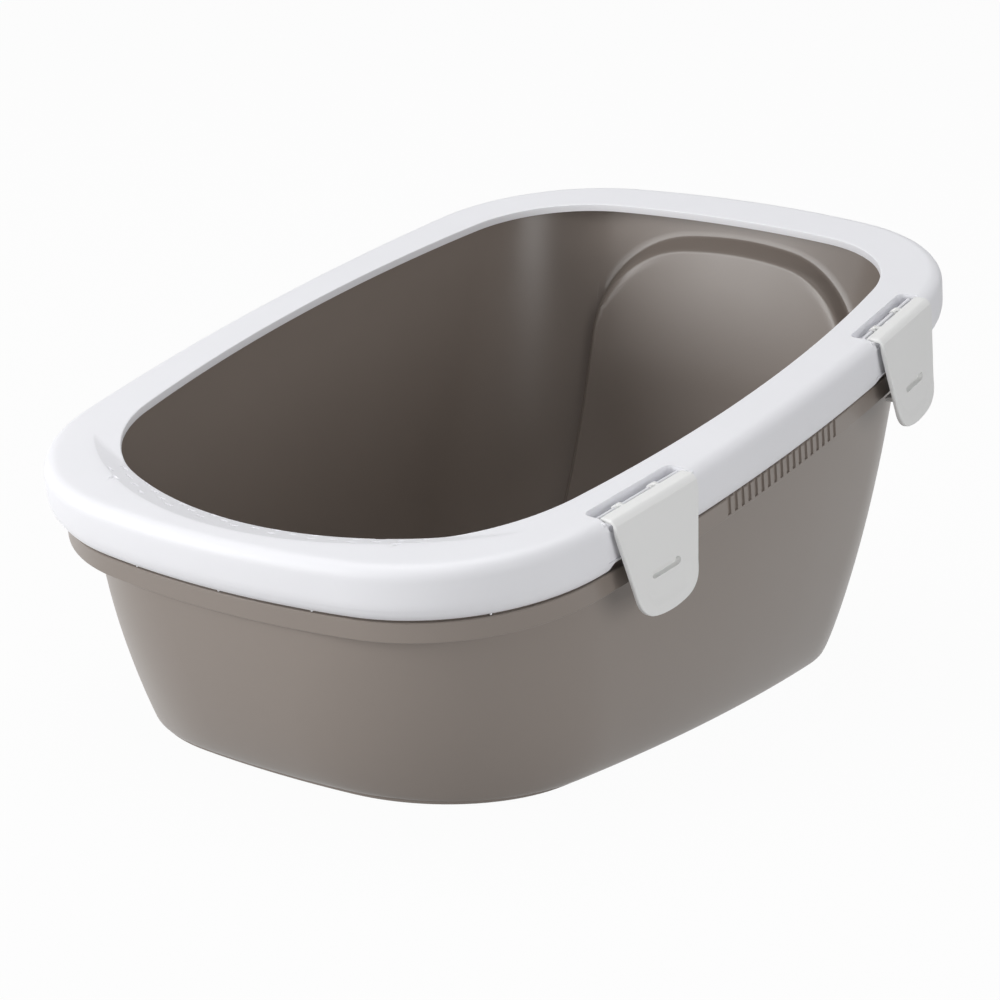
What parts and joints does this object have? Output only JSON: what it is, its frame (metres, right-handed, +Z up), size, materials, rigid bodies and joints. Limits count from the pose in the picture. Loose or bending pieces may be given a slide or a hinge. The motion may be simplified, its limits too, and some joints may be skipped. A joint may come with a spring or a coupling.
{
  "type": "litter tray",
  "caption": "Deep plastic litter tray with a white rim held by two clips on the right side, a high back with an arched panel and a low sloping step-in front.",
  "frame": {"origin": "on the ground under the middle of the tray's outline", "axes": "+Z up, -Y the low front where the animal steps in, +Y the high back, +X the right side seen from the front"},
  "size_m": [0.3912, 0.562, 0.2544],
  "materials": {
    "tub_plastic": "satin moulded taupe, smoother inside than out",
    "rim_plastic": "satin moulded cool white",
    "clip_plastic": "satin moulded white"
  },
  "bodies": {
    "tub": {"tub": "tub_plastic"},
    "rim": {"rim": "rim_plastic"},
    "clip_front_right": {"clip_front_right": "clip_plastic"},
    "clip_rear_right": {"clip_rear_right": "clip_plastic"}
  },
  "joints": [
    {"name": "rim_lift", "type": "slide", "parent": "tub", "child": "rim", "axis": [0, -0.1867, 0.9824], "range_m": [0, 0.1]},
    {"name": "clip_front_right_hinge", "type": "hinge", "parent": "rim", "child": "clip_front_right", "pos_m": [0.17584, -0.13267, 0.17392], "axis": [-0.0892, -0.9785, -0.186], "range_deg": [-3.5, 105]},
    {"name": "clip_rear_right_hinge", "type": "hinge", "parent": "rim", "child": "clip_rear_right", "pos_m": [0.17584, 0.13398, 0.2246], "axis": [0.0892, -0.9785, -0.186], "range_deg": [-3.5, 105]}
  ]
}
